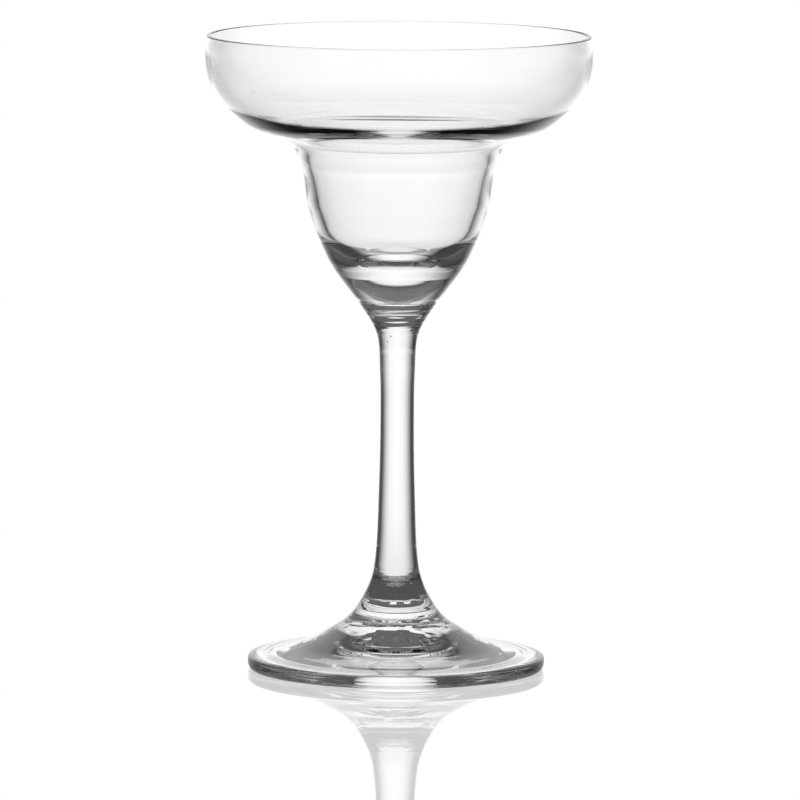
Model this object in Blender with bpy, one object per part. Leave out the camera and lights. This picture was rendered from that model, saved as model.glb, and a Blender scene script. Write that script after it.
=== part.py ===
"""An empty margarita glass: wide upper bowl, narrow lower bowl, stem and foot, turned as one solid.

Metres, +Z up. The axis of the glass is the Z axis and the foot rests on z = 0.
"""

import math
from collections import namedtuple

import bmesh
import bpy
import numpy as np

# Driving dimensions.
GLASS_HEIGHT = 0.1766
RIM_RADIUS = 0.0533
RIM_WALL = 0.0011
RIM_OUTER_ROUND = 0.00035
RIM_INNER_ROUND = 0.00020
BOWL_RADIUS = 0.0537
BOWL_WALL = 0.0012
THROAT_RADIUS = 0.0273
SEAM_RADIUS = 0.0108
SEAM_HEIGHT = 0.1027
SEAM_GROOVE = 0.0003
CUP_FLOOR_HEIGHT = 0.1150
STEM_RADIUS = 0.0047
STEM_WAIST_HEIGHT = 0.0680
FOOT_RADIUS = 0.0413
FOOT_EDGE_HEIGHT = 0.0036
FOOT_EDGE_ROUND = 0.0007
RESTING_RADIUS = 0.0404
RESTING_WIDTH = 0.0012
UNDERSIDE_RISE = 0.0063

# How finely the turned outline and the turn round the axis are cut into flat faces.
SEGMENTS = 72
FACET_TURN = 19.0
FACET_LENGTH = 0.016
CURVE_STEPS = 200
WELD = 1e-6

# Headings, in degrees: the way the outline runs at a station.
OUTWARD = 0.0
DOWN = -90.0
INWARD = -180.0
UP = 90.0

GLASS_COLOUR = (0.965, 0.972, 0.970, 1.0)
GLASS_ROUGHNESS = 0.02
GLASS_INDEX = 1.52

Station = namedtuple("Station", "radius height heading")


def outer_stations():
    """The outside of the wall, from the crest of the rim down to the foot's resting edge."""
    return [
        Station(RIM_RADIUS - RIM_OUTER_ROUND, GLASS_HEIGHT, OUTWARD),
        Station(RIM_RADIUS, GLASS_HEIGHT - RIM_OUTER_ROUND, -86),
        Station(BOWL_RADIUS, 0.1708, DOWN),
        Station(0.0508, 0.1605, -124),
        Station(0.0429, 0.1525, -141),
        Station(0.0308, 0.1474, -150),
        Station(THROAT_RADIUS, 0.1415, -114),
        Station(0.0252, 0.1300, -104),
        Station(0.0200, 0.1156, -115),
        Station(0.0124, 0.1045, -128),
        Station(SEAM_RADIUS, SEAM_HEIGHT + SEAM_GROOVE, -150),
        Station(SEAM_RADIUS - SEAM_GROOVE, SEAM_HEIGHT, -140),
    ]


def stem_stations():
    """The outside of the stem and foot, from the sharp top corner of the stem to the resting edge."""
    return [
        Station(SEAM_RADIUS, SEAM_HEIGHT - SEAM_GROOVE, -121),
        Station(0.0059, 0.0939, -108),
        Station(0.0049, 0.0835, -93),
        Station(STEM_RADIUS, STEM_WAIST_HEIGHT, DOWN),
        Station(0.0051, 0.0475, -88),
        Station(0.0063, 0.0280, -81),
        Station(0.0105, 0.0179, -60),
        Station(0.0173, 0.0115, -29),
        Station(0.0268, 0.0068, -22),
        Station(FOOT_RADIUS - FOOT_EDGE_ROUND, FOOT_EDGE_HEIGHT, -17),
        Station(FOOT_RADIUS, FOOT_EDGE_HEIGHT - FOOT_EDGE_ROUND, DOWN),
        Station(RESTING_RADIUS, 0.0, -152),
    ]


def underside_stations():
    """The hollow underside, from the inner edge of the flat resting ring to the axis."""
    return [
        Station(RESTING_RADIUS - RESTING_WIDTH, 0.0, INWARD),
        Station(0.0326, 0.0010, -184),
        Station(0.0259, 0.0020, -190),
        Station(0.0152, 0.0044, -183),
        Station(0.0, UNDERSIDE_RISE, INWARD),
    ]


def inner_stations():
    """The inside of the wall, from the middle of the cup's floor up to the crest of the rim."""
    rim_inside = RIM_RADIUS - RIM_WALL
    return [
        Station(0.0, CUP_FLOOR_HEIGHT, OUTWARD),
        Station(0.0046, 0.1144, -8),
        Station(0.0099, 0.11445, 12),
        Station(0.0149, 0.1167, 36),
        Station(0.0187, 0.1208, 58),
        Station(0.0226, 0.1316, 78),
        Station(0.0244, 0.1413, 76),
        Station(0.0288, 0.1496, 44),
        Station(0.0386, 0.1527, 8),
        Station(0.0455, 0.1560, 45),
        Station(0.0496, 0.1607, 57),
        Station(BOWL_RADIUS - BOWL_WALL, 0.1708, 90),
        Station(rim_inside, GLASS_HEIGHT - RIM_INNER_ROUND, 94),
        Station(rim_inside + RIM_INNER_ROUND, GLASS_HEIGHT, OUTWARD),
        Station(RIM_RADIUS - RIM_OUTER_ROUND, GLASS_HEIGHT, OUTWARD),
    ]


def direction(heading):
    """The unit vector of a heading, as radius and height."""
    angle = math.radians(heading)
    return np.array([math.cos(angle), math.sin(angle)])


def span(start, end):
    """A cubic curve from one station to the next. Its tangents are as long as a round arc would need."""
    first = np.array([start.radius, start.height])
    last = np.array([end.radius, end.height])
    leave = direction(start.heading)
    arrive = direction(end.heading)
    turn = math.acos(max(-1.0, min(1.0, float(leave @ arrive))))
    length = math.dist(first, last) / math.cos(turn / 4) ** 2
    t = np.linspace(0.0, 1.0, CURVE_STEPS)[:, None]
    return (
        (2 * t**3 - 3 * t**2 + 1) * first
        + (t**3 - 2 * t**2 + t) * length * leave
        + (3 * t**2 - 2 * t**3) * last
        + (t**3 - t**2) * length * arrive
    )


def facets(curve):
    """Keeps the ends of a span and each point where it has turned or run far enough for a new facet."""
    steps = np.diff(curve, axis=0)
    lengths = np.hypot(steps[:, 0], steps[:, 1])
    headings = np.unwrap(np.arctan2(steps[:, 1], steps[:, 0]))
    turned = np.concatenate([[0.0], np.cumsum(np.abs(np.diff(headings)))])
    effort = np.degrees(turned) / FACET_TURN + np.cumsum(lengths) / FACET_LENGTH
    cuts = max(1, round(float(effort[-1])))
    wanted = np.arange(cuts) * effort[-1] / cuts
    return curve[np.searchsorted(effort, wanted)]


def outline(stations):
    """The faceted points along a run of stations, the last station included."""
    runs = [facets(span(start, end)) for start, end in zip(stations, stations[1:])]
    last = stations[-1]
    return np.concatenate(runs + [[[last.radius, last.height]]])


def glass_profile():
    """The closed half outline of the glass, from the axis inside the cup round to the axis underneath."""
    inside = outline(inner_stations())
    outside = outline(outer_stations())[1:]
    stem_and_foot = outline(stem_stations())
    underside = outline(underside_stations())
    return np.concatenate([inside, outside, stem_and_foot, underside])


def turned_mesh(name, profile):
    """Turns a half outline once round the Z axis into one closed mesh."""
    shape = bmesh.new()
    points = [shape.verts.new((radius, 0.0, height)) for radius, height in profile]
    edges = [shape.edges.new(pair) for pair in zip(points, points[1:])]
    bmesh.ops.spin(
        shape,
        geom=points + edges,
        cent=(0.0, 0.0, 0.0),
        axis=(0.0, 0.0, 1.0),
        angle=math.tau,
        steps=SEGMENTS,
        use_merge=True,
    )
    bmesh.ops.remove_doubles(shape, verts=shape.verts[:], dist=WELD)
    bmesh.ops.recalc_face_normals(shape, faces=shape.faces[:])
    mesh = bpy.data.meshes.new(name)
    shape.to_mesh(mesh)
    shape.free()
    return mesh


def clear_glass():
    """Water-clear, polished glass."""
    material = bpy.data.materials.new("clear_glass")
    material.use_nodes = True
    shader = material.node_tree.nodes["Principled BSDF"]
    shader.inputs["Base Color"].default_value = GLASS_COLOUR
    shader.inputs["Metallic"].default_value = 0.0
    shader.inputs["Roughness"].default_value = GLASS_ROUGHNESS
    shader.inputs["IOR"].default_value = GLASS_INDEX
    shader.inputs["Transmission Weight"].default_value = 1.0
    return material


def clear_scene():
    """Removes the objects that a new scene starts with."""
    for old in list(bpy.data.objects):
        bpy.data.objects.remove(old, do_unlink=True)


def build_glass():
    """The whole glass, one turned solid."""
    mesh = turned_mesh("margarita_glass", glass_profile())
    mesh.materials.append(clear_glass())
    mesh.shade_smooth()
    mesh.set_sharp_from_angle(angle=math.radians(30))
    glass = bpy.data.objects.new("margarita_glass", mesh)
    bpy.context.scene.collection.objects.link(glass)
    return glass


clear_scene()
build_glass()
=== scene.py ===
# %% [markdown]
# An empty margarita glass, made as one piece of clear glass.
# A glass like this is blown or pressed in a mould, and its stem and foot are drawn from the same
# gather, so every part of it is round about one axis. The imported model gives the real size.

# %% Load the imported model
import math

import bpy
import numpy as np
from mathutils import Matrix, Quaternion, Vector


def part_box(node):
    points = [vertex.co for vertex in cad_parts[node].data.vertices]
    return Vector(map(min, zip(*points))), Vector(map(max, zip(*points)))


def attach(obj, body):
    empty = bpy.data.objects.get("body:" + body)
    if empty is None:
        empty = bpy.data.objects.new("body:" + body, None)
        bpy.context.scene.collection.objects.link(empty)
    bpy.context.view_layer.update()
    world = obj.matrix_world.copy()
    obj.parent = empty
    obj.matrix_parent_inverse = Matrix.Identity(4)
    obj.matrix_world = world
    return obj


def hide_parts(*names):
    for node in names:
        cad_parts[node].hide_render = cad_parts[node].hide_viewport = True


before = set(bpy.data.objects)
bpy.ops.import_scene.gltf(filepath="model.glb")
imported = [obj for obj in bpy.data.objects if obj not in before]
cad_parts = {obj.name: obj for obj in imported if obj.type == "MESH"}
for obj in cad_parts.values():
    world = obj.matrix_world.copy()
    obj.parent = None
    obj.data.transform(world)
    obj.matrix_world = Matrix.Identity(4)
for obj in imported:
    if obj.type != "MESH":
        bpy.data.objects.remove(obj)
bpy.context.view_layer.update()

LOW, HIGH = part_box("margarita_glass")
HEIGHT = HIGH.z
WIDTH = HIGH.x - LOW.x
print("glass height and width", round(HEIGHT, 4), round(WIDTH, 4))

# %% [markdown]
# The camera stands well back with a long lens, so that the rim's ellipse stays slim. It looks down on
# the foot by eight degrees and on the rim by four, which the heights of the two ellipses give.

# %% Camera
CAMERA_BACK = 2.315
CAMERA_UP = 0.350
AIM = Vector((0.00075, 0.0, 0.0750))
CAMERA_ROLL = math.radians(0.31)
FRAME_WIDTH = 0.2222
SENSOR = 36.0
NEAREST, FURTHEST = 0.05, 60.0


def place_camera():
    """A lens of sensor width * distance / FRAME_WIDTH, turned a little about its own axis."""
    lens = bpy.data.cameras.new("camera")
    eye = Vector((0.0, -CAMERA_BACK, CAMERA_UP))
    distance = math.hypot(CAMERA_BACK, CAMERA_UP - HEIGHT / 2)
    lens.sensor_width = SENSOR
    lens.lens = SENSOR * distance / FRAME_WIDTH
    lens.clip_start = NEAREST
    lens.clip_end = FURTHEST
    camera = bpy.data.objects.new("camera", lens)
    camera.location = eye
    camera.rotation_mode = "QUATERNION"
    look = (AIM - eye).to_track_quat("-Z", "Y")
    camera.rotation_quaternion = look @ Quaternion((0.0, 0.0, 1.0), CAMERA_ROLL)
    bpy.context.scene.collection.objects.link(camera)
    bpy.context.scene.camera = camera
    return camera


camera = place_camera()
print("lens", round(camera.data.lens, 1), "mm")

# %% [markdown]
# Clear glass shows nothing of its own: it shows the room, bent. It is lit here as glassware is in a
# studio, by one wide bright panel behind it and a dim room elsewhere, which draws the dark edges.
# The room is the world's shader. A soft panel is a patch in azimuth and elevation with soft edges.

# %% Studio room
ROOM_LEVEL = 0.028
WHITE = (1.0, 1.0, 1.0, 1.0)
BEHIND, IN_FRONT = 1.5, 180.0
BACK_HALF, BACK_SOFT = 31.0, 38.0
MIDDLE_HALF, MIDDLE_SOFT = 5.0, 28.0
# Each panel, in degrees: azimuth of its centre, half width, softness, then lowest, highest, softness.
# Its brightness comes last. They are the back, its middle, the right, the left, the front and the top.
PANELS = [
    (BEHIND, BACK_HALF, BACK_SOFT, -10.0, 39.5, 5.0, 0.95),
    (BEHIND, MIDDLE_HALF, MIDDLE_SOFT, -10.0, 39.5, 5.0, 0.12),
    (80.0, 32.0, 30.0, -10.0, 40.0, 8.0, 0.06),
    (-85.0, 25.0, 30.0, -10.0, 40.0, 8.0, 0.045),
    (IN_FRONT, 50.0, 30.0, -10.0, 25.0, 20.0, 0.25),
    (0.0, 180.0, 10.0, 42.0, 95.0, 6.0, 0.10),
]


def feed(tree, socket, value):
    """Sets a socket to a number, or links another socket to it."""
    if isinstance(value, (int, float)):
        socket.default_value = value
    else:
        tree.links.new(value, socket)


def math_node(tree, operation, *values):
    """A Math node fed by numbers or sockets. Gives its output socket."""
    node = tree.nodes.new("ShaderNodeMath")
    node.operation = operation
    for socket, value in zip(node.inputs, values):
        feed(tree, socket, value)
    return node.outputs[0]


def mix_values(tree, factor, low, high):
    """low * (1 - factor) + high * factor."""
    node = tree.nodes.new("ShaderNodeMix")
    node.data_type = "FLOAT"
    feed(tree, node.inputs["Factor"], factor)
    feed(tree, node.inputs["A"], low)
    feed(tree, node.inputs["B"], high)
    return node.outputs["Result"]


def soft_step(tree, value, start, end):
    """Rises smoothly from 0 at start to 1 at end."""
    node = tree.nodes.new("ShaderNodeMapRange")
    node.interpolation_type = "SMOOTHSTEP"
    node.inputs["From Min"].default_value = start
    node.inputs["From Max"].default_value = end
    tree.links.new(value, node.inputs["Value"])
    return node.outputs["Result"]


def soft_below(tree, value, high, softness):
    """1 below a value, and falling smoothly to 0 over the softness round it."""
    return soft_step(tree, value, high + softness / 2, high - softness / 2)


def soft_band(tree, value, low, high, softness):
    """1 between low and high, and falling smoothly to 0 over the softness on both sides."""
    rise = soft_step(tree, value, low - softness / 2, low + softness / 2)
    return math_node(tree, "MULTIPLY", rise, soft_below(tree, value, high, softness))


def angle_from(tree, azimuth, centre):
    """How far an azimuth is from a centre, 0 to 180 degrees either way round."""
    turned = math_node(tree, "SUBTRACT", azimuth, centre)
    wrapped = math_node(tree, "WRAP", turned, 180.0, -180.0)
    return math_node(tree, "ABSOLUTE", wrapped)


def azimuth_and_radius(tree, vector):
    """Azimuth in degrees, 0 behind the glass and positive to its right, and the distance from the axis."""
    split = tree.nodes.new("ShaderNodeSeparateXYZ")
    tree.links.new(vector, split.inputs[0])
    x, y, z = split.outputs
    radians = math_node(tree, "ARCTAN2", x, y)
    azimuth = math_node(tree, "DEGREES", radians)
    squares = math_node(tree, "MULTIPLY_ADD", x, x, math_node(tree, "MULTIPLY", y, y))
    radius = math_node(tree, "SQRT", squares)
    return azimuth, radius, z


def add_all(tree, values):
    """The sum of a list of sockets and numbers."""
    total = values[0]
    for value in values[1:]:
        total = math_node(tree, "ADD", total, value)
    return total


def white_for_the_backdrop(tree):
    """1 for what the camera sees directly, and for the floor's own first reflection of the room."""
    path = tree.nodes.new("ShaderNodeLightPath")
    bounces = math_node(tree, "ADD", path.outputs["Glossy Depth"], path.outputs["Transmission Depth"])
    first = math_node(tree, "COMPARE", bounces, 1.0, 0.5)
    glossy = math_node(tree, "MULTIPLY", path.outputs["Is Glossy Ray"], first)
    blurred = math_node(tree, "SUBTRACT", 1.0, path.outputs["Is Singular Ray"])
    mirror = math_node(tree, "MULTIPLY", glossy, blurred)
    return math_node(tree, "MAXIMUM", path.outputs["Is Camera Ray"], mirror)


def studio_room():
    """The world: a dim room with soft panels, and plain white wherever the camera looks past the glass."""
    world = bpy.data.worlds.new("studio_room")
    world.use_nodes = True
    tree = world.node_tree
    background = tree.nodes["Background"]
    direction = tree.nodes.new("ShaderNodeTexCoord").outputs["Generated"]
    azimuth, _, z = azimuth_and_radius(tree, direction)
    elevation = math_node(tree, "DEGREES", math_node(tree, "ARCSINE", z))
    parts = []
    for centre, half, soft_side, low, high, soft_end, level in PANELS:
        across = soft_below(tree, angle_from(tree, azimuth, centre), half, soft_side)
        along = soft_band(tree, elevation, low, high, soft_end)
        parts.append(math_node(tree, "MULTIPLY", math_node(tree, "MULTIPLY", across, along), level))
    seen = add_all(tree, parts + [ROOM_LEVEL])
    strength = mix_values(tree, white_for_the_backdrop(tree), seen, 1.0)
    tree.links.new(strength, background.inputs["Strength"])
    background.inputs["Color"].default_value = WHITE
    bpy.context.scene.world = world


studio_room()
print("panels", len(PANELS))

# %% [markdown]
# The glass stands on a white glossy sheet, which the camera sees as plain white. The sheet gives off a
# little painted light and shade, and reflects the glass more the flatter one looks along it, which a
# Fresnel mix of painted light and mirror gives. What the glass shows of the sheet is painted bright behind
# it, brightest at the far end, with a painted shadow right under the foot.

# %% Painted light and shade of the floor
# Painted light and shade that the glass shows of the floor. Each reach is a pair of distances from the
# axis, between which the painted brightness changes.
FLOOR_LEVEL = 0.05
FLOOR_BACK = 0.83
FLOOR_BACK_FAR = 0.12
FLOOR_MIDDLE = 0.12
BACK_REACH = (0.06, 0.35)
FLOOR_FAR = 0.22
FAR_REACH = (0.6, 1.8)
FLOOR_FRONT = 0.20
FRONT_HALF, FRONT_SOFT = 60.0, 30.0
TABLE_FAR = (1.30, 1.75)
TABLE_FAR_LEVEL = 1.22
TABLE_HALF, TABLE_SOFT = 48.0, 44.0
# A painted shadow on the floor under the foot: dim in the middle and lighter towards the foot's edge.
FLOOR_PAINTED_SHADOW = 0.08
FLOOR_PAINTED_SHADOW_EDGE = 0.12
PAINTED_SHADOW_REACH = (0.030, 0.038)
FOOT_SHADE = (0.0415, 0.0455)


def painted_light_on_the_table(tree, azimuth, radius):
    """A dim painted level, plus soft fans of painted light behind and in front, and at least the painted
    bright far end.
    """
    off_back = angle_from(tree, azimuth, BEHIND)
    behind = soft_below(tree, off_back, BACK_HALF, BACK_SOFT)
    middle = soft_below(tree, off_back, MIDDLE_HALF, MIDDLE_SOFT)
    wide = soft_below(tree, off_back, TABLE_HALF, TABLE_SOFT)
    before = soft_below(tree, angle_from(tree, azimuth, IN_FRONT), FRONT_HALF, FRONT_SOFT)
    away = soft_step(tree, radius, *BACK_REACH)
    back = math_node(tree, "MULTIPLY_ADD", away, FLOOR_BACK_FAR, FLOOR_BACK)
    middle_away = math_node(tree, "MULTIPLY", middle, away)
    lit = math_node(tree, "MULTIPLY_ADD", behind, back, FLOOR_LEVEL)
    lit = math_node(tree, "MULTIPLY_ADD", middle_away, FLOOR_MIDDLE, lit)
    lit = math_node(tree, "MULTIPLY_ADD", soft_step(tree, radius, *FAR_REACH), FLOOR_FAR, lit)
    lit = math_node(tree, "MULTIPLY_ADD", before, FLOOR_FRONT, lit)
    far_end = math_node(tree, "MULTIPLY", soft_step(tree, radius, *TABLE_FAR), TABLE_FAR_LEVEL)
    return math_node(tree, "MAXIMUM", lit, math_node(tree, "MULTIPLY", far_end, wide))


def painted_floor_light_and_shade(tree):
    """The painted light on the table outside the foot, and a dim painted shadow under it that rises to the
    foot's edge.
    """
    place = tree.nodes.new("ShaderNodeTexCoord").outputs["Object"]
    azimuth, radius, _ = azimuth_and_radius(tree, place)
    # The painted shadow under the foot, lighter towards its edge.
    edge = soft_step(tree, radius, *PAINTED_SHADOW_REACH)
    under = math_node(tree, "MULTIPLY_ADD", edge, FLOOR_PAINTED_SHADOW_EDGE - FLOOR_PAINTED_SHADOW, FLOOR_PAINTED_SHADOW)
    clear_of_foot = soft_step(tree, radius, *FOOT_SHADE)
    return mix_values(tree, clear_of_foot, under, painted_light_on_the_table(tree, azimuth, radius))


# %% Floor
FLOOR_HALF = 30.0
FLOOR_INDEX = 1.45
FLOOR_ROUGHNESS = 0.012


def white_sheet():
    """A Fresnel share of mirror over painted light and shade, which the camera sees as plain white."""
    material = bpy.data.materials.new("white_sheet")
    material.use_nodes = True
    tree = material.node_tree
    tree.nodes.clear()
    path = tree.nodes.new("ShaderNodeLightPath")
    # Emission of painted light and shade where the glass sees the sheet, and plain white where the camera
    # sees it.
    painted_light_emission = tree.nodes.new("ShaderNodeEmission")
    strength = mix_values(tree, path.outputs["Is Camera Ray"], painted_floor_light_and_shade(tree), 1.0)
    tree.links.new(strength, painted_light_emission.inputs["Strength"])
    gloss = tree.nodes.new("ShaderNodeBsdfGlossy")
    gloss.inputs["Color"].default_value = WHITE
    gloss.inputs["Roughness"].default_value = FLOOR_ROUGHNESS
    fresnel = tree.nodes.new("ShaderNodeFresnel")
    fresnel.inputs["IOR"].default_value = FLOOR_INDEX
    blend = tree.nodes.new("ShaderNodeMixShader")
    tree.links.new(fresnel.outputs[0], blend.inputs[0])
    tree.links.new(painted_light_emission.outputs[0], blend.inputs[1])
    tree.links.new(gloss.outputs[0], blend.inputs[2])
    out = tree.nodes.new("ShaderNodeOutputMaterial")
    tree.links.new(blend.outputs[0], out.inputs["Surface"])
    material.cycles.emission_sampling = "NONE"
    return material


def floor_sheet():
    """A flat square round the axis, FLOOR_HALF to each side."""
    corners = FLOOR_HALF * np.array([[-1, -1, 0], [1, -1, 0], [1, 1, 0], [-1, 1, 0]], float)
    mesh = bpy.data.meshes.new("floor")
    mesh.from_pydata(corners.tolist(), [], [(0, 1, 2, 3)])
    mesh.materials.append(white_sheet())
    floor = bpy.data.objects.new("floor", mesh)
    bpy.context.scene.collection.objects.link(floor)


floor_sheet()
print("floor width", 2 * FLOOR_HALF, "m")

# %% [markdown]
# The outline is a run of stations, each a radius, a height and a heading. A cubic curve joins each to
# the next. Its tangents have the length that would make a round arc, so bends come out smooth.

# %% Outline of the wall, stem and foot
RIM_RADIUS = 0.0533
RIM_WALL = 0.0011
RIM_OUTER_ROUND = 0.00050
RIM_INNER_ROUND = 0.00035
BOWL_RADIUS = 0.0537
BOWL_WALL = 0.0011
THROAT_RADIUS = 0.0273
SEAM_RADIUS = 0.0108
SEAM_HEIGHT = 0.1027
SEAM_GROOVE = 0.0003
CUP_FLOOR_HEIGHT = 0.1150
STEM_RADIUS = 0.0047
STEM_WAIST_HEIGHT = 0.0680
FOOT_RADIUS = 0.0413
FOOT_EDGE_HEIGHT = 0.0036
FOOT_EDGE_INSET = 0.0006
FOOT_EDGE_DROP = 0.0009
RESTING_RADIUS = 0.0404
RESTING_WIDTH = 0.0012
UNDERSIDE_RISE = 0.0063
OUTWARD, DOWN, INWARD = 0.0, -90.0, -180.0
RING_INSIDE = RESTING_RADIUS - RESTING_WIDTH
CURVE_STEPS = 1200

INSIDE = [
    (0.0, CUP_FLOOR_HEIGHT, OUTWARD),
    (0.0046, 0.1144, -8),
    (0.0099, 0.11445, 12),
    (0.0149, 0.1167, 36),
    (0.0187, 0.1208, 58.5),
    (0.0209, 0.1260, 70),
    (0.0226, 0.1316, 78),
    (0.0244, 0.1413, 76),
    (0.0288, 0.1496, 43.6),
    (0.0386, 0.1527, 10),
    (0.0455, 0.1564, 40),
    (0.0493, 0.1606, 54),
    (BOWL_RADIUS - BOWL_WALL, 0.1708, 87.5),
    (RIM_RADIUS - RIM_WALL, HEIGHT - RIM_INNER_ROUND, 94),
    (RIM_RADIUS - RIM_WALL + RIM_INNER_ROUND, HEIGHT, OUTWARD),
    (RIM_RADIUS - RIM_OUTER_ROUND, HEIGHT, OUTWARD),
]
OUTSIDE = [
    (RIM_RADIUS - RIM_OUTER_ROUND, HEIGHT, OUTWARD),
    (RIM_RADIUS, HEIGHT - RIM_OUTER_ROUND, -86),
    (BOWL_RADIUS, 0.1708, DOWN),
    (0.0508, 0.1605, -124),
    (0.0429, 0.1525, -141.3),
    (0.0308, 0.1474, -150.2),
    (THROAT_RADIUS, 0.1415, -113.6),
    (0.0252, 0.1300, -104),
    (0.01995, 0.1156, -115),
    (0.0124, 0.1045, -128),
    (SEAM_RADIUS, SEAM_HEIGHT + SEAM_GROOVE, -150),
    (SEAM_RADIUS - SEAM_GROOVE, SEAM_HEIGHT, -140),
]
STEM = [
    (SEAM_RADIUS, SEAM_HEIGHT - SEAM_GROOVE, -121),
    (0.0059, 0.0939, -108),
    (0.0049, 0.0835, -93),
    (STEM_RADIUS, STEM_WAIST_HEIGHT, DOWN),
    (0.0051, 0.0475, -88),
    (0.0063, 0.0280, -81.2),
    (0.0105, 0.0179, -59.6),
    (0.0173, 0.0115, -28.8),
    (0.0268, 0.0068, -22.9),
    (FOOT_RADIUS - FOOT_EDGE_INSET, FOOT_EDGE_HEIGHT, -16.8),
    (FOOT_RADIUS, FOOT_EDGE_HEIGHT - FOOT_EDGE_DROP, DOWN),
    (RESTING_RADIUS, 0.0, -155),
]
UNDERSIDE = [
    (RING_INSIDE, 0.0, INWARD),
    (0.0326, 0.00107, -184.6),
    (0.0259, 0.00209, -190.5),
    (0.0152, 0.00447, -182.5),
    (0.0, UNDERSIDE_RISE, INWARD),
]


def direction(heading):
    """The unit vector of a heading in degrees, as radius and height."""
    return np.array([math.cos(math.radians(heading)), math.sin(math.radians(heading))])


def span(start, end):
    """A cubic curve between two stations, with tangents of chord / cos(turn / 4) squared."""
    first, last = np.array(start[:2]), np.array(end[:2])
    leave, arrive = direction(start[2]), direction(end[2])
    turn = math.acos(float(np.clip(leave @ arrive, -1.0, 1.0)))
    length = math.dist(first, last) / math.cos(turn / 4) ** 2
    t = np.linspace(0.0, 1.0, CURVE_STEPS)[:, None]
    return (
        (2 * t**3 - 3 * t**2 + 1) * first
        + (t**3 - 2 * t**2 + t) * length * leave
        + (3 * t**2 - 2 * t**3) * last
        + (t**3 - t**2) * length * arrive
    )


# %% Points along the outline
# Spacings are closest where the surface is wavy.
FINE_TURN = 4.0
BOWL_STEP = 0.0026
BOWL_JOINT_STEP = 0.0003
NECK_STEP = 0.0012
SHAFT_STEP = 0.0030
FOOT_JOINT_STEP = 0.00035
FOOT_STEP = 0.0007
UNDERSIDE_STEP = 0.0004


def fine_points(curve, length):
    """Keeps a point of the curve wherever turn / FINE_TURN + run / length has grown by about one."""
    steps = np.diff(curve, axis=0)
    lengths = np.hypot(steps[:, 0], steps[:, 1])
    headings = np.unwrap(np.arctan2(steps[:, 1], steps[:, 0]))
    turned = np.concatenate([[0.0], np.cumsum(np.abs(np.diff(headings)))])
    effort = np.degrees(turned) / FINE_TURN + np.cumsum(lengths) / length
    cuts = max(1, round(float(effort[-1])))
    wanted = np.arange(cuts) * effort[-1] / cuts
    return curve[np.searchsorted(effort, wanted)]


def outline(stations, lengths):
    """All the points along a run of stations, with its last station. Each span has its own spacing."""
    spans = zip(stations, stations[1:], lengths)
    runs = [fine_points(span(a, b), length) for a, b, length in spans]
    return np.concatenate(runs + [np.array([stations[-1][:2]])])


STEM_STEPS = [BOWL_JOINT_STEP, NECK_STEP] + [SHAFT_STEP] * 3 + [FOOT_JOINT_STEP] * 2 + [FOOT_STEP] * 4
UNDERSIDE_STEPS = [FOOT_STEP] * 2 + [UNDERSIDE_STEP] * 2
inside = outline(INSIDE, [BOWL_STEP] * len(INSIDE))
outside = outline(OUTSIDE, [BOWL_STEP] * len(OUTSIDE))[1:]
stem = outline(STEM, STEM_STEPS)
underside = outline(UNDERSIDE, UNDERSIDE_STEPS)
PROFILE = np.concatenate([inside, outside, stem, underside])
print("outline points", len(PROFILE), "height", round(PROFILE[:, 1].max(), 4))

# %% [markdown]
# Where hot glass is joined, it chills against the tool and keeps faint waves. They show as the wavy
# streaks under the bowl, as fine rings round the top of the foot and as the crumpled mark in the
# middle of the underside. They are real relief, up to nine hundredths of a millimetre high, so they go
# into the mesh as heights off the smooth outline: sums of cosines that sway a little on the way round.

# %% Waves in the chilled glass
TURNS = 160
TURN = np.arange(TURNS) * math.tau / TURNS
SWAY_CYCLES = (1, 2, 3, 5)


def window(value, low, high, soft):
    """1 between low and high, and down to 0 over the soft width outside both ends, as 3t2 - 2t3."""
    rise = np.clip((value - low) / soft + 1.0, 0.0, 1.0)
    fall = np.clip((high - value) / soft + 1.0, 0.0, 1.0)
    return rise**2 * (3 - 2 * rise) * fall**2 * (3 - 2 * fall)


def waves(along, lengths, heights, sway, seed):
    """Sum of height * cos(2 pi (along + sway) / length), where the sway wanders slowly with the turn."""
    rng = np.random.default_rng(seed)
    total = np.zeros((len(along), TURNS))
    for length, height in zip(lengths, heights):
        wander = sum(np.sin(n * TURN + rng.uniform(0, math.tau)) / n for n in SWAY_CYCLES)
        phase = rng.uniform(0, math.tau)
        total += height * np.cos(math.tau * (along + sway * wander) / length + phase)
    return total


def crumple(x, y, shortest, longest, height, count, seed):
    """Sum of plane waves height * cos(k.(x, y) + phase), in seeded directions and lengths."""
    rng = np.random.default_rng(seed)
    total = np.zeros_like(x)
    for heading, length, phase in rng.uniform((0, shortest, 0), (math.tau, longest, math.tau), (count, 3)):
        across = x * math.cos(heading) + y * math.sin(heading)
        total += height * (length / longest) * np.cos(math.tau * across / length + phase)
    return total


def spokes(counts, height, seed):
    """Faint streaks that run outwards: the sum of height * cos(count * turn + phase)."""
    rng = np.random.default_rng(seed)
    return sum(height * np.cos(count * TURN + rng.uniform(0, math.tau)) for count in counts)


# %% Relief of each stretch of the outline
# Each band is where a kind of relief starts and ends, by height or radius, and how softly.
BOWL_BAND = (0.1180, 0.1690, 0.0040)
BOWL_JOINT_BAND = (0.0950, 0.1008, 0.0010)
FOOT_JOINT_BAND = (0.0128, 0.0262, 0.0020)
CRUMPLED_BAND = (0.0205, 0.0262, 0.0016)
FLARE_RADII = (0.0150, 0.0290, 0.0040)
FLARE_BAND = (0.0020, 0.0125, 0.0010)
MIDDLE_RADII = (-1.0, 0.0110, 0.0035)
RING_RADII = (0.0120, 0.0300, 0.0030)
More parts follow.
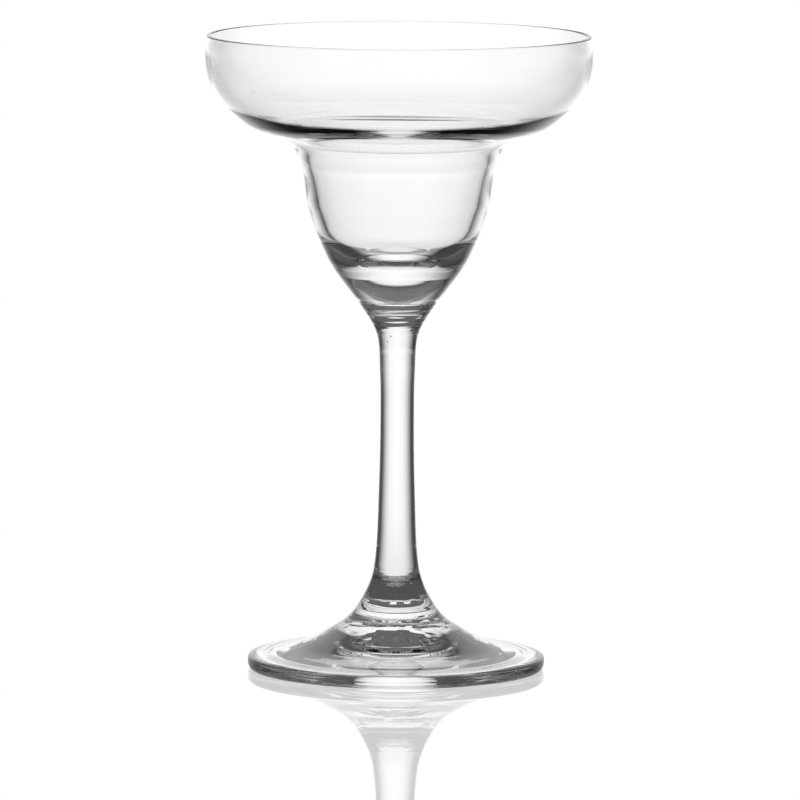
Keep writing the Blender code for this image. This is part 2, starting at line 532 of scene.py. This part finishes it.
# Waves: lengths, heights, sway, seed. Crumples: shortest, longest, height, count, seed. Spokes: counts
# round the axis, height, seed.
BOWL_WAVES = ((0.021, 0.013), (5e-6, 3e-6), 0.006, 19)
BOWL_JOINT_WAVES = ((0.0021, 0.0013), (26e-6, 9e-6), 0.0004, 3)
FOOT_JOINT_WAVES = ((0.0019, 0.0012), (11e-6, 6e-6), 0.00015, 5)
UNDERSIDE_WAVES = ((0.0031, 0.0019), (6e-6, 3e-6), 0.0002, 13)
FOOT_JOINT_CRUMPLE = (0.0020, 0.0050, 16e-6, 8, 23)
MIDDLE_CRUMPLE = (0.0018, 0.0055, 18e-6, 12, 11)
FLARE_SPOKES = ((17, 26, 37), 4e-6, 7)
UNDERSIDE_SPOKES = ((13, 22, 34), 3e-6, 17)


def distance_along(profile):
    """The running sum of the steps from point to point of the outline."""
    steps = np.linalg.norm(np.diff(profile, axis=0), axis=1)
    return np.concatenate([[0.0], np.cumsum(steps)])[:, None]


def bowl_relief(profile):
    """Slow waves round the bowls, under a hundredth of a millimetre, as blown glass keeps."""
    return window(profile[:, 1:], *BOWL_BAND) * waves(distance_along(profile), *BOWL_WAVES)


def stem_relief(profile):
    """The wavy joint under the bowl, the rings round the top of the foot and its faint spokes."""
    radius, height, along = profile[:, :1], profile[:, 1:], distance_along(profile)
    x, y = radius * np.cos(TURN), radius * np.sin(TURN)
    flare = window(radius, *FLARE_RADII) * window(height, *FLARE_BAND)
    return (
        window(height, *BOWL_JOINT_BAND) * waves(along, *BOWL_JOINT_WAVES)
        + window(height, *FOOT_JOINT_BAND) * waves(along, *FOOT_JOINT_WAVES)
        + window(height, *CRUMPLED_BAND) * crumple(x, y, *FOOT_JOINT_CRUMPLE)
        + flare * spokes(*FLARE_SPOKES)
    )


def underside_relief(profile):
    """The crumpled middle of the underside, and faint rings and spokes round it."""
    radius, along = profile[:, :1], distance_along(profile)
    x, y = radius * np.cos(TURN), radius * np.sin(TURN)
    rings = window(radius, *RING_RADII)
    return (
        window(radius, *MIDDLE_RADII) * crumple(x, y, *MIDDLE_CRUMPLE)
        + rings * waves(along, *UNDERSIDE_WAVES)
        + rings * spokes(*UNDERSIDE_SPOKES)
    )


RELIEF = np.concatenate(
    [bowl_relief(inside), bowl_relief(outside), stem_relief(stem), underside_relief(underside)]
)
print("relief in hundredths of a millimetre", np.round(1e5 * np.array([RELIEF.min(), RELIEF.max()]), 2))

# %% [markdown]
# The outline is carried round the axis: a point is radius times cosine and sine of the turn, and the
# height, moved off the outline by the relief. Both ends lie on the axis, so each closes in a fan.

# %% Carry the outline round
def outline_normals(profile):
    """Unit vectors that point out of the glass, a quarter turn from the outline's own direction."""
    run = np.gradient(profile, axis=0)
    run /= np.linalg.norm(run, axis=1)[:, None]
    return np.stack([-run[:, 1], run[:, 0]], -1)


def add_faces(mesh, points, faces):
    """Fills a mesh with points and a list of arrays of faces, each array with its own corner count."""
    mesh.vertices.add(len(points))
    mesh.vertices.foreach_set("co", points.astype(np.float32).ravel())
    corners = np.concatenate([group.ravel() for group in faces]).astype(np.int32)
    sizes = np.concatenate([np.full(len(group), group.shape[1]) for group in faces])
    mesh.loops.add(len(corners))
    mesh.loops.foreach_set("vertex_index", corners)
    mesh.polygons.add(len(sizes))
    mesh.polygons.foreach_set("loop_start", (np.cumsum(sizes) - sizes).astype(np.int32))
    mesh.update(calc_edges=True)


def turned_faces(rings, count, first):
    """Quads between neighbouring rings and a fan of triangles at each pole, from a first point number."""
    row = np.arange(rings - 1)[:, None] * count
    here, there = np.arange(count), (np.arange(count) + 1) % count
    quads = np.stack([row + here, row + there, row + count + there, row + count + here], -1)
    edge = (rings - 1) * count
    top_fan = np.stack([np.full(count, rings * count), there, here], -1)
    low_fan = np.stack([np.full(count, rings * count + 1), edge + here, edge + there], -1)
    fans = np.concatenate([top_fan, low_fan])
    return quads.reshape(-1, 4)[:, ::-1] + first, fans[:, ::-1] + first


def turned_points(profile, offset):
    """The rings of points round the axis, then the two poles."""
    normals = outline_normals(profile)
    radius = profile[:, :1] + normals[:, :1] * offset
    height = profile[:, 1:] + normals[:, 1:] * offset
    ring = np.stack([radius * np.cos(TURN), radius * np.sin(TURN), height], -1)[1:-1]
    poles = np.array([[0.0, 0.0, height[0, 0]], [0.0, 0.0, height[-1, 0]]])
    return np.concatenate([ring.reshape(-1, 3), poles])


# %% [markdown]
# A few seeds, which are tiny air bubbles, are left in the thick glass where the parts are joined. Each
# is a closed skin round nothing, turned from the top down as the glass is, so its faces point out of the
# bubble and into the glass.

# %% Seeds in the thick glass
# Each seed: centre, then half its width and half its height.
SEEDS = [
    (0.0010, -0.0030, 0.1044, 0.00018, 0.00018),
    (0.0012, -0.0028, 0.1034, 0.00016, 0.00016),
    (-0.0016, -0.0030, 0.0935, 0.00024, 0.00040),
    (-0.0024, -0.0024, 0.0918, 0.00020, 0.00028),
    (0.0030, -0.0020, 0.0900, 0.00018, 0.00024),
    (0.0028, -0.0026, 0.0262, 0.00018, 0.00026),
    (0.0034, -0.0020, 0.0235, 0.00020, 0.00024),
    (-0.0034, -0.0060, 0.0078, 0.00028, 0.00016),
    (-0.0052, -0.0035, 0.0080, 0.00024, 0.00014),
    (0.0046, -0.0048, 0.0076, 0.00026, 0.00014),
    (0.0070, -0.0020, 0.0082, 0.00022, 0.00016),
    (0.0012, -0.0075, 0.0072, 0.00018, 0.00012),
    (-0.0395, -0.0334, 0.1635, 0.00025, 0.00018),
]
SEED_ROUND = 12
SEED_RINGS = 7


def seed_points(x, y, z, width, height):
    """An egg round a centre: width * sin(down) about the axis and height * cos(down) along it."""
    down = np.arange(1, SEED_RINGS + 1)[:, None] * math.pi / (SEED_RINGS + 1)
    turn = np.arange(SEED_ROUND) * math.tau / SEED_ROUND
    flat = np.ones_like(turn)
    ring = np.stack(
        [
            x + width * np.sin(down) * np.cos(turn),
            y + width * np.sin(down) * np.sin(turn),
            z + height * np.cos(down) * flat,
        ],
        -1,
    )
    poles = np.array([[x, y, z + height], [x, y, z - height]])
    return np.concatenate([ring.reshape(-1, 3), poles])


def glass_with_seeds():
    """The turned glass and its seeds as one mesh."""
    points = [turned_points(PROFILE, RELIEF)]
    quads, fans = turned_faces(len(PROFILE) - 2, TURNS, 0)
    faces = [quads, fans]
    for seed in SEEDS:
        first = sum(len(group) for group in points)
        points.append(seed_points(*seed))
        quads, fans = turned_faces(SEED_RINGS, SEED_ROUND, first)
        faces += [quads, fans]
    mesh = bpy.data.meshes.new("clear_margarita_glass")
    add_faces(mesh, np.concatenate(points), faces)
    return mesh


def signed_volume(mesh):
    """The volume that the faces enclose. It is positive where they point outwards."""
    mesh.calc_loop_triangles()
    points = np.empty(len(mesh.vertices) * 3)
    mesh.vertices.foreach_get("co", points)
    faces = np.empty(len(mesh.loop_triangles) * 3, np.int32)
    mesh.loop_triangles.foreach_get("vertices", faces)
    corners = points.reshape(-1, 3)[faces.reshape(-1, 3)]
    return float(np.linalg.det(corners).sum() / 6)


SHARP_FROM = math.radians(25)
glass_mesh = glass_with_seeds()
print("volume ml", round(signed_volume(glass_mesh) * 1e6, 2), "triangles", len(glass_mesh.loop_triangles))
glass_mesh.shade_smooth()
glass_mesh.set_sharp_from_angle(angle=SHARP_FROM)
glass = bpy.data.objects.new("clear_margarita_glass", glass_mesh)
bpy.context.scene.collection.objects.link(glass)

# %% [markdown]
# The glass is water-clear soda-lime glass, fire-polished, so it is a transmitting shader with no
# roughness at all. Its detail is what the furnace leaves: slow waviness of the surface, a few
# thousandths of a millimetre high and drawn out along the glass, and a trace of uneven clearness.

# %% Clear glass
WAVE_LENGTH = 0.008
WAVE_HEIGHT = 4e-6
DRAWN_OUT = 0.35
WAVE_DETAIL, WAVE_ROUGHNESS = 2.0, 0.4
CORD_SCALE, CORD_DETAIL = 2.3, 1.0
GLASS_INDEX = 1.52
LEAST_CLEAR = (0.986, 0.989, 0.988, 1.0)


def furnace_marks():
    """A node group in object space: the height of the slow waves in metres, and a mask of clearness."""
    group = bpy.data.node_groups.new("furnace_marks", "ShaderNodeTree")
    group.interface.new_socket("Height", in_out="OUTPUT", socket_type="NodeSocketFloat")
    group.interface.new_socket("Clearness", in_out="OUTPUT", socket_type="NodeSocketFloat")
    out = group.nodes.new("NodeGroupOutput")
    place = group.nodes.new("ShaderNodeTexCoord")
    stretch = group.nodes.new("ShaderNodeMapping")
    across = 1 / WAVE_LENGTH
    stretch.inputs["Scale"].default_value = (across, across, DRAWN_OUT / WAVE_LENGTH)
    group.links.new(place.outputs["Object"], stretch.inputs["Vector"])
    slow = group.nodes.new("ShaderNodeTexNoise")
    slow.inputs["Scale"].default_value = 1.0
    slow.inputs["Detail"].default_value = WAVE_DETAIL
    slow.inputs["Roughness"].default_value = WAVE_ROUGHNESS
    group.links.new(stretch.outputs["Vector"], slow.inputs["Vector"])
    cords = group.nodes.new("ShaderNodeTexNoise")
    cords.inputs["Scale"].default_value = CORD_SCALE
    cords.inputs["Detail"].default_value = CORD_DETAIL
    group.links.new(stretch.outputs["Vector"], cords.inputs["Vector"])
    height = math_node(group, "MULTIPLY", slow.outputs["Fac"], WAVE_HEIGHT)
    group.links.new(height, out.inputs["Height"])
    group.links.new(cords.outputs["Fac"], out.inputs["Clearness"])
    return group


def clear_glass():
    """Clear glass whose surface and clearness carry the furnace marks."""
    material = bpy.data.materials.new("clear_glass")
    material.use_nodes = True
    tree = material.node_tree
    shader = tree.nodes["Principled BSDF"]
    shader.inputs["Roughness"].default_value = 0.0
    shader.inputs["IOR"].default_value = GLASS_INDEX
    shader.inputs["Transmission Weight"].default_value = 1.0
    marks = tree.nodes.new("ShaderNodeGroup")
    marks.node_tree = furnace_marks()
    tint = tree.nodes.new("ShaderNodeMix")
    tint.data_type = "RGBA"
    tree.links.new(marks.outputs["Clearness"], tint.inputs["Factor"])
    tint.inputs["A"].default_value = LEAST_CLEAR
    tint.inputs["B"].default_value = WHITE
    tree.links.new(tint.outputs["Result"], shader.inputs["Base Color"])
    bump = tree.nodes.new("ShaderNodeBump")
    bump.inputs["Distance"].default_value = 1.0
    tree.links.new(marks.outputs["Height"], bump.inputs["Height"])
    tree.links.new(bump.outputs["Normal"], shader.inputs["Normal"])
    return material


glass.data.materials.append(clear_glass())
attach(glass, "root")
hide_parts("margarita_glass")
print("material", glass.data.materials[0].name)

# %% [markdown]
# A ray that enters the foot or the stem is turned back inside it many times before it leaves. Light
# that is cut short goes black, so the paths are let run far longer than a solid object needs. The
# plain view transform keeps the white backdrop white.

# %% Light paths and colour
GLASS_BOUNCES = 32
MIRROR_BOUNCES = 16
scene = bpy.context.scene
scene.cycles.max_bounces = GLASS_BOUNCES
scene.cycles.transmission_bounces = GLASS_BOUNCES
scene.cycles.glossy_bounces = MIRROR_BOUNCES
scene.cycles.caustics_reflective = True
scene.cycles.caustics_refractive = True
scene.cycles.blur_glossy = 0.0
scene.view_settings.view_transform = "Standard"
scene.view_settings.look = "None"
print("bounces", GLASS_BOUNCES, "in glass and", MIRROR_BOUNCES, "off mirrors")
